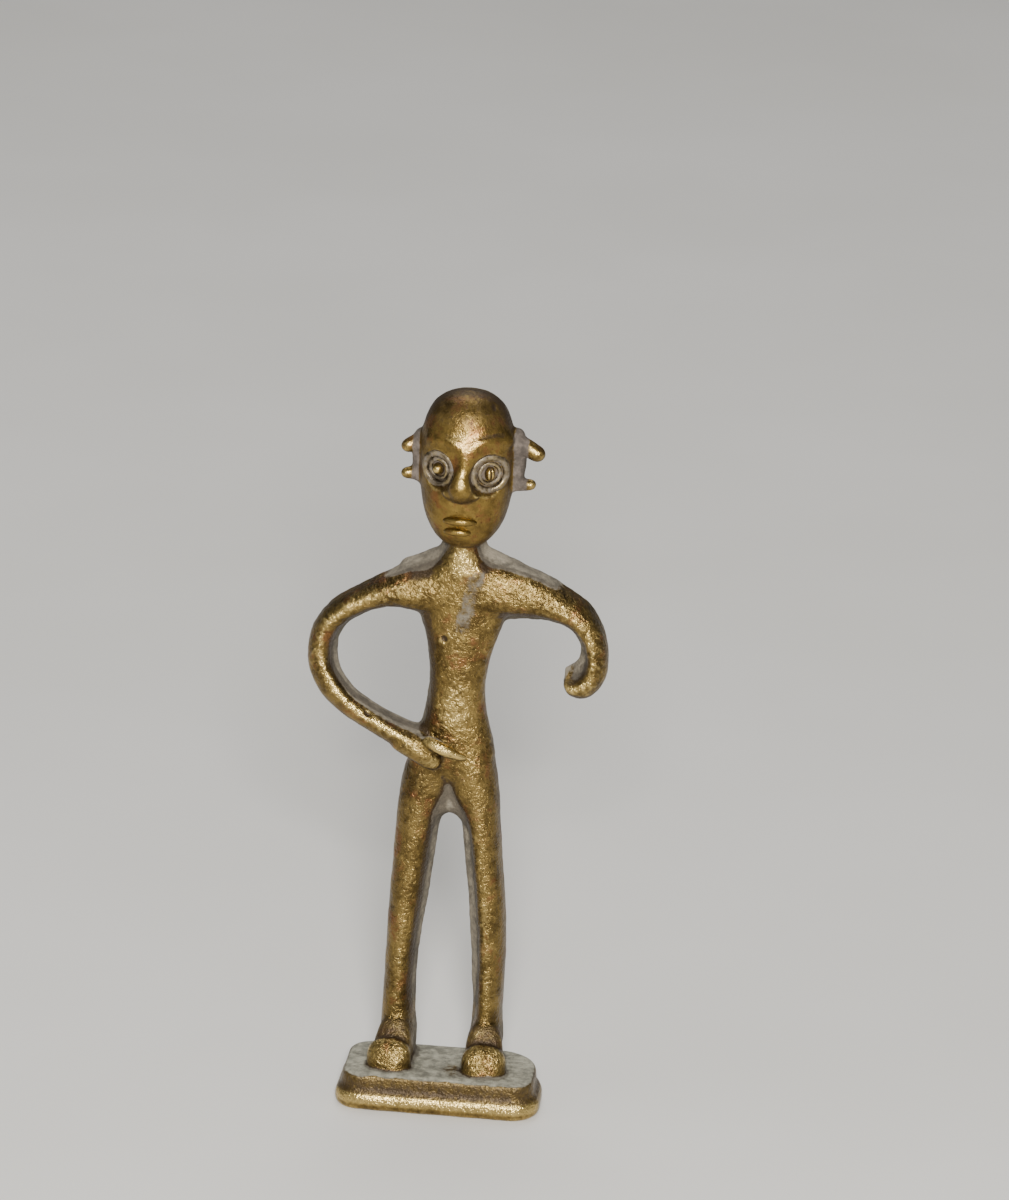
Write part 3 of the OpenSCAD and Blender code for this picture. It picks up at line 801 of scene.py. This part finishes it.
# --- The head ---
# An egg with the chin down, cast on its own grain, smoother than the body's.
# A thin rim shows behind the face, where the back of the mould met it.
head_low, head_high = (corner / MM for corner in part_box("head"))
HEAD_X = (head_low.x + head_high.x) / 2
HEAD_Y = 2.0
HEAD_HALF = Vector((head_high.x - head_low.x, head_high.y - head_low.y, 0)) / 2
CHIN, HEAD_TALL = head_low.z, head_high.z - head_low.z
HEAD = [   # share of the height, shares of half the width and depth, shift of the middle
    (0, 0.05, 0.05, -1.1), (0.01, 0.22, 0.2, -1.05), (0.035, 0.42, 0.4, -0.95), (0.09, 0.64, 0.6, -0.75),
    (0.17, 0.81, 0.77, -0.5), (0.26, 0.91, 0.88, -0.2), (0.38, 0.98, 0.96, 0), (0.5, 1, 1, 0),
    (0.62, 1, 1, 0), (0.74, 0.965, 0.965, 0), (0.83, 0.88, 0.89, 0), (0.9, 0.755, 0.77, 0),
    (0.955, 0.56, 0.57, 0), (0.985, 0.33, 0.34, 0), (1, 0.06, 0.06, 0),
]
RIM = 0.1            # how far the rim stands out
RIM_Y = 0.4          # how far behind the head's middle its front is
head_wax = bmesh.new()


def egg(bm, grow, front):
    outlines = []
    for share, half_x, half_y, shift in eased(HEAD, 3):
        outline = []
        for a in np.linspace(0, 2 * math.pi, 48, endpoint=False):
            point_y = HEAD_Y + shift + (half_y * HEAD_HALF.y + grow) * math.sin(a)
            point_x = HEAD_X + (half_x * HEAD_HALF.x + grow) * math.cos(a)
            outline.append((point_x, max(point_y, front), CHIN + share * HEAD_TALL))
        outlines.append(outline)
    loft(bm, outlines)


egg(head_wax, 0, -99)
egg(head_wax, RIM, HEAD_Y + RIM_Y)

# --- The nose ---
# A roll of wax down the middle of the face that spreads at the nostrils. It
# leans a little to the figure's right, and low ridges run from it over the eyes.
NOSE = [   # x, height, radius, how far its middle stands in front of the face
    (0.85, 72.6, 2.6, -2.8), (0.85, 71.6, 2.3, -2.2), (0.83, 70.6, 1.7, -1.15), (0.8, 69.7, 1.05, -0.35),
    (0.7, 68.8, 0.85, -0.1), (0.55, 67.8, 1.0, 0.1), (0.45, 66.8, 1.35, 0.35), (0.45, 66.3, 1.3, 0.2),
]
NOSTRILS = [(-0.65, 66.0, 0.95, -0.05), (1.6, 66.0, 0.95, -0.05)]
BROWS = [   # ridges from the bridge out over the eyes: x, height, radius, how far they stand out
    [(0.7, 70.4, 1.0, 0.55), (-0.3, 71.2, 1.0, 0.38), (-1.5, 71.5, 1.0, 0.2), (-2.8, 71.1, 1.0, 0.05)],
    [(1.0, 70.4, 1.0, 0.55), (2.1, 71.3, 1.0, 0.38), (3.3, 71.6, 1.0, 0.2), (4.6, 71.2, 1.0, 0.05)],
]


def face_y(x, height):
    """How far forward the plain egg reaches at a place on the face."""
    share = (BASE_TOP + height - CHIN) / HEAD_TALL
    stations = np.array(HEAD)
    half_x, half_y, shift = (np.interp(share, stations[:, 0], stations[:, i]) for i in (1, 2, 3))
    across = min(1, abs(x - HEAD_X) / (half_x * HEAD_HALF.x))
    return HEAD_Y + shift - half_y * HEAD_HALF.y * math.sqrt(1 - across**2)


pressed(head_wax, [(x, face_y(x, h) - out, h, r) for x, h, r, out in NOSE], (1, 0.9, 1))
for brow in BROWS:
    pressed(head_wax, [(x, face_y(x, h) + r - out, h, r) for x, h, r, out in brow])
for x, h, r, out in NOSTRILS:
    root = (NOSE[-1][0], face_y(0.4, h) - 0.1, h, r)
    pressed(head_wax, [root, (x, face_y(x, h) - out, h, r)], (1, 0.8, 0.8))

# --- The ears ---
# A flat web of wax on each side of the head, with a knob drawn out above and
# below and a bite between them. The left one stands out further.
EAR_Y = 2.2
EAR_WEB_Y = EAR_Y + 0.2
EAR_WEBS = [   # x, y, height, radius
    [(-4.3, EAR_WEB_Y, 66.2, 0.85), (-4.6, EAR_WEB_Y, 68.2, 0.8), (-4.4, EAR_WEB_Y, 70.5, 0.85)],
    [(5.4, EAR_WEB_Y, 65.8, 0.8), (5.9, EAR_WEB_Y, 68, 0.85), (5.6, EAR_WEB_Y, 71.1, 0.9)],
]
KNOBS = [   # from the root to the tip
    [(-4.4, EAR_Y, 69.9, 1.0), (-5.2, EAR_Y - 0.3, 69.8, 0.85), (-5.75, EAR_Y - 0.5, 69.5, 0.8)],
    [(-4.4, EAR_Y, 66.5, 1.0), (-5.2, EAR_Y - 0.3, 66.5, 0.78), (-5.8, EAR_Y - 0.5, 66.5, 0.72)],
    [(5.2, EAR_Y, 70.4, 1.3), (6.6, EAR_Y - 0.3, 70.15, 1.0), (7.9, EAR_Y - 0.55, 69.55, 0.95)],
    [(5.2, EAR_Y, 66.3, 1.1), (6.3, EAR_Y - 0.3, 66.0, 0.78), (7.3, EAR_Y - 0.5, 66.1, 0.68)],
]
for ear_web in EAR_WEBS:
    pressed(head_wax, ear_web, (1, 1.5, 1))
for knob in KNOBS:
    pressed(head_wax, knob, (1, 0.95, 0.95))

# --- The face ---
# The wax is melted as on the body. Then the eye sockets are pressed in with a
# round stamp, and the creases, brows and nick are cut with a point.
EYES = [   # x, height, turn outwards in degrees, socket radius
    (-2.35, 68.2, -27, 2.2), (3.5, 67.95, 25, 2.4),
]
SOCKET_FLOOR = 0.62
CUTS = [   # a line of x, height on the face; how wide, deep and dirty the cut is
    ([
        (-1.45, 65.5), (-1.0, 65.1), (-0.3, 64.85), (0.5, 64.78), (1.4, 64.88), (2.0, 65.15), (2.35, 65.55),
    ], 0.1, 0.08, 0.9),
    ([(2.5, 72.15), (2.95, 72.25), (3.5, 72.2), (4.0, 72.25), (4.5, 72.05)], 0.24, 0.1, 1.2),
    ([(-1.35, 72.15), (-0.7, 72.2), (-0.05, 72.1)], 0.14, 0.04, 0.9),
    ([(3.45, 74.6), (3.3, 75.0), (3.35, 75.5)], 0.12, 0.14, 1.5),
]


def from_line(co, line):
    """How far each place is, seen from the front, from a line of x, height."""
    flat = co[:, [0, 2]]
    nearest = np.full(len(co), 99.0)
    points = [np.array((x, BASE_TOP + h)) for x, h in line]
    for a, b in zip(points, points[1:]):
        t = np.clip((flat - a) @ (b - a) / ((b - a) @ (b - a)), 0, 1)
        nearest = np.minimum(nearest, np.linalg.norm(flat - a - t[:, None] * (b - a), axis=1))
    return nearest


def eye_frame(x, height, turn):
    """Moves things from round an upright axis to an eye, +Z out of the face."""
    return (
        Matrix.Translation((x, face_y(x, height), BASE_TOP + height))
        @ Matrix.Rotation(math.radians(turn), 4, "Z") @ Matrix.Rotation(math.radians(93), 4, "X")
    )


HEAD_VOXEL = 0.11
HEAD_GRAIN = [(2.6, 0.035), (0.8, 0.012), (0.4, 0.006)]          # size of the lumps, height
head_cast = fused(head_wax, HEAD_VOXEL)
head_ends = edges_of(head_cast)
head_co = places_of(head_cast)
head_soft = np.where(np.abs(head_co[:, 0] - HEAD_X) > 5.4, 0.45, 0.9)
head_soft[head_co[:, 1] > HEAD_Y - 0.4] = 0.4
head_soft = relaxed(head_soft, head_ends, 6)
head_co = relaxed(head_co, head_ends, 24, head_soft)

dirt_there = np.zeros(len(head_co))
front_side = head_co[:, 1] < 0.9
for x, height, turn, radius in EYES:
    frame_in = np.array(eye_frame(x, height, turn))
    local = (head_co - frame_in[:3, 3]) @ frame_in[:3, :3]
    reach = np.hypot(local[:, 0], local[:, 1])
    floor_there = -SOCKET_FLOOR + 0.75 * smooth_step(radius - 0.45, radius + 0.12, reach)
    pressed_in = (reach < radius + 0.12) & (local[:, 2] > floor_there) & (local[:, 2] > -3) & front_side
    local[pressed_in, 2] = floor_there[pressed_in]
    head_co = local @ frame_in[:3, :3].T + frame_in[:3, 3]
    dirt_there = np.maximum(dirt_there, smooth_step(radius + 0.15, radius - 0.35, reach) * front_side)
head_normal = normals_of(head_cast, head_co)
for line, width, depth, dirty in CUTS:
    away = from_line(head_co, line)
    cut = np.exp(-((away / width) ** 2)) * front_side
    head_co -= head_normal * (depth * cut)[:, None]
    dirt_there = np.maximum(dirt_there, smooth_step(0.25, 0.8, cut) * dirty)
head_co = relaxed(head_co, head_ends, 5, 0.7)
head_normal = normals_of(head_cast, head_co)
head_relief = sum(high * lumps(head_co, size, seed) for seed, (size, high) in enumerate(HEAD_GRAIN, 3))
head_co = head_co + head_normal * head_relief[:, None]
head_normal = normals_of(head_cast, head_co)
head_grime, head_rub = wear(head_co, head_normal, head_ends)
# The sides of the head, turned away from the viewer, are painted darker: painted shade.
head_seen = 0.93 * np.abs(head_normal[:, 1]) + 0.36 * head_normal[:, 2]
head_flank_shade = smooth_step(0.7, 0.2, head_seen) * 0.6
head_grime = np.clip(np.maximum(head_grime * 0.8, dirt_there * 0.5) + head_flank_shade, 0, 1)
# The top of the head is painted darker and its rub taken away, dimming the forehead: painted shade.
crown_shade = 0.4 * smooth_step(BASE_TOP + 71.8, BASE_TOP + 73.8, head_co[:, 2])
head_grime = np.clip(head_grime + crown_shade, 0, 1)
# Faces turned towards the camera and the key lamp get extra rub: a painted highlight.
head_shine = 0.4 * smooth_step(0.9, 0.995, -0.9 * head_normal[:, 1] + 0.44 * head_normal[:, 2])
head_rub = np.clip(0.8 * head_rub + head_shine - crown_shade, 0, 1)
behind = smooth_step(HEAD_Y - 0.1, HEAD_Y + 0.5, head_co[:, 1]) * smooth_step(0.85, 0.4, head_normal[:, 1])
out_x = np.abs(head_co[:, 0] - HEAD_X)
on_right = head_co[:, 0] < HEAD_X
knob_from, web_to = np.where(on_right, 6.0, 6.9), np.where(on_right, 5.6, 6.3)
web_there = smooth_step(4.75, 5.1, out_x) * smooth_step(knob_from, web_to, out_x)
head_chalk = np.clip(np.maximum(behind * smooth_step(0.9, 0.5, head_normal[:, 2]), web_there * 0.9), 0, 1)
socket_there = dirt_there * (head_co[:, 2] < BASE_TOP + 71) * (head_co[:, 2] > BASE_TOP + 66.2)
head_chalk = np.maximum(head_chalk, socket_there * 0.62)
head_chalk = np.clip(relaxed(head_chalk, head_ends, 4)[:, 0], 0, 1)

HEAD_GOLD, HEAD_SHADE, HEAD_CHALK = colour(138, 114, 60), colour(88, 70, 38), colour(110, 99, 90)
head_brass = aged_brass("head_brass", HEAD_GOLD, HEAD_SHADE, 0.22, HEAD_CHALK, 0.00007, 0.33)
head = tinted(head_cast, head_co, {"grime": head_grime, "rub": head_rub, "chalk": head_chalk})
nose_y = HEAD_Y - HEAD_HALF.y - 0.14
NOSE_FROM, NOSE_TO = (-2.2, -9, BASE_TOP + 64), (3.2, 9, BASE_TOP + 72.6)
EAR_CLEAR = 0.22     # how far the ears' saw stays off the head
nose = saw_off(head, (0, nose_y, 0), (0, -1, 0), NOSE_FROM, NOSE_TO)
right_ear = saw_off(head, (HEAD_X - HEAD_HALF.x - EAR_CLEAR, 0, 0), (-1, 0, 0))
left_ear = saw_off(head, (HEAD_X + HEAD_HALF.x + EAR_CLEAR, 0, 0), (1, 0, 0))
put_in(head, "head", head_brass)
put_in(nose, "nose", head_brass)
put_in(right_ear, "right_ear", head_brass)
put_in(left_ear, "left_ear", head_brass)

# --- The lips ---
# Two short threads of wax pressed on under the nose, tapered to both ends.
UPPER_LIP = (0.35, 62.85, 1.8, 0.58)      # middle x, height, half the length, radius
LOWER_LIP = (0.1, 61.6, 1.45, 0.54)


def own_masks(bm, **masks):
    """Gives a small piece its masks, each from 0 to 1, from place and normal."""
    layers = [(bm.verts.layers.float.new(name), value) for name, value in masks.items()]
    bm.normal_update()
    for vert in bm.verts:
        for layer, value in layers:
            vert[layer] = value(vert.co, vert.normal) if callable(value) else value


def lip(name, middle_x, height, half, radius):
    bm = bmesh.new()
    outlines = []
    for t in np.linspace(-1, 1, 33):
        x = middle_x + half * t
        thick = radius * (1.02 - t * t) ** 0.42
        sag = -0.14 * t * t
        y = face_y(x, height) - 0.03 - 0.1 * (1 - t * t)
        outlines.append([
            (x, y - thick * 0.95 * math.sin(a), BASE_TOP + height + sag + thick * math.cos(a) * 0.8)
            for a in np.linspace(0, 2 * math.pi, 20, endpoint=False)
        ])
    loft(bm, outlines)
    bmesh.ops.recalc_face_normals(bm, faces=bm.faces)
    for vert in bm.verts:
        vert.co += vert.normal * 0.025 * noise.noise(vert.co / 0.6 + GRAIN_SEED)
    for face in bm.faces:
        face.smooth = True
    # The edges of each lip that turn back into the face are painted darker, and its front brighter: painted
    # shade above and below the lip, and a painted highlight on it.
    own_masks(
        bm,
        grime=lambda place, out: smooth_step(-0.35, 0.55, out.y),
        rub=lambda place, out: 0.3 * smooth_step(-0.6, -0.97, out.y),
        chalk=0.0,
    )
    put_in(bm, name, head_brass)


lip("upper_lip", *UPPER_LIP)
lip("lower_lip", *LOWER_LIP)

# --- The eyes ---
# Two rings of wax thread in each socket round a pellet. The right pellet is a
# cone, and the left one is split by a blade.
RINGS = {"outer": (1.86, 0.4), "inner": (1.12, 0.25)}      # radius, thickness
PELLET = 0.66
SLIT, SLIT_DEPTH = 0.09, 0.2      # in the left pellet

EYE_GOLD, EYE_SHADE, EYE_CHALK = colour(132, 118, 92), colour(94, 84, 70), colour(112, 104, 98)
eye_brass = aged_brass("eye_brass", EYE_GOLD, EYE_SHADE, -0.2, EYE_CHALK, 0.00005, 0.3)


def eye_ring(side, turned, kind, shrink):
    radius, thick = RINGS[kind]
    name = f"{side}_eye_{kind}_ring"
    bm = bmesh.new()
    on_end = Matrix.Translation((radius * shrink, 0, 0)) @ Matrix.Rotation(math.pi / 2, 4, "X")
    bmesh.ops.create_circle(bm, segments=14, radius=thick, matrix=on_end)
    bmesh.ops.spin(
        bm, geom=bm.verts[:] + bm.edges[:], cent=(0, 0, 0), axis=(0, 0, 1),
        angle=2 * math.pi, steps=72, use_merge=True,
    )
    bmesh.ops.remove_doubles(bm, verts=bm.verts, dist=1e-5)
    bmesh.ops.recalc_face_normals(bm, faces=bm.faces)
    for vert in bm.verts:
        wobble = noise.noise(vert.co / 0.9 + GRAIN_SEED * (2 + shrink))
        vert.co += vert.normal * 0.05 * wobble
        vert.co.z += 0.06 * wobble - SOCKET_FLOOR - 0.04
    own_masks(
        bm,
        grime=lambda place, out: smooth_step(0.6, 0.1, out.z) * 0.6,
        rub=lambda place, out: (
            0.5 * smooth_step(0.7, 1.0, out.z) * (0.5 + 0.5 * math.sin(2.1 * place.x + place.y))
        ),
        chalk=0.5,
    )
    for face in bm.faces:
        face.smooth = True
    bmesh.ops.transform(bm, matrix=turned, verts=bm.verts)
    put_in(bm, name, eye_brass)


def pellet(side, turned, split):
    bm = bmesh.new()
    bmesh.ops.create_uvsphere(bm, u_segments=40, v_segments=28, radius=PELLET)
    for vert in bm.verts:
        if split:
            vert.co *= Vector((0.85, 1.2, 0.95))
            slit = math.exp(-((vert.co.x / SLIT) ** 2)) * smooth_step(0.0, 0.3, vert.co.z)
            vert.co.z -= SLIT_DEPTH * slit
        else:
            vert.co.z *= 1.15
    bmesh.ops.recalc_face_normals(bm, faces=bm.faces)
    for face in bm.faces:
        face.smooth = True
    own_masks(
        bm,
        grime=lambda place, out: max(smooth_step(0.6, 0.1, out.z), split * math.exp(-((place.x / 0.1) ** 2))),
        rub=lambda place, out: 0.9 * smooth_step(0.6, 0.95, out.z),
        chalk=0.0,
    )
    bmesh.ops.translate(bm, verts=bm.verts, vec=(0, 0, -SOCKET_FLOOR))
    bmesh.ops.transform(bm, matrix=turned, verts=bm.verts)
    put_in(bm, f"{side}_eye_pellet", head_brass)


for side, (x, height, turn, radius) in zip(("right", "left"), EYES):
    turned = eye_frame(x, height, turn)
    shrink = radius / EYES[1][3]
    eye_ring(side, turned, "outer", shrink)
    eye_ring(side, turned, "inner", shrink)
    pellet(side, turned, side == "left")
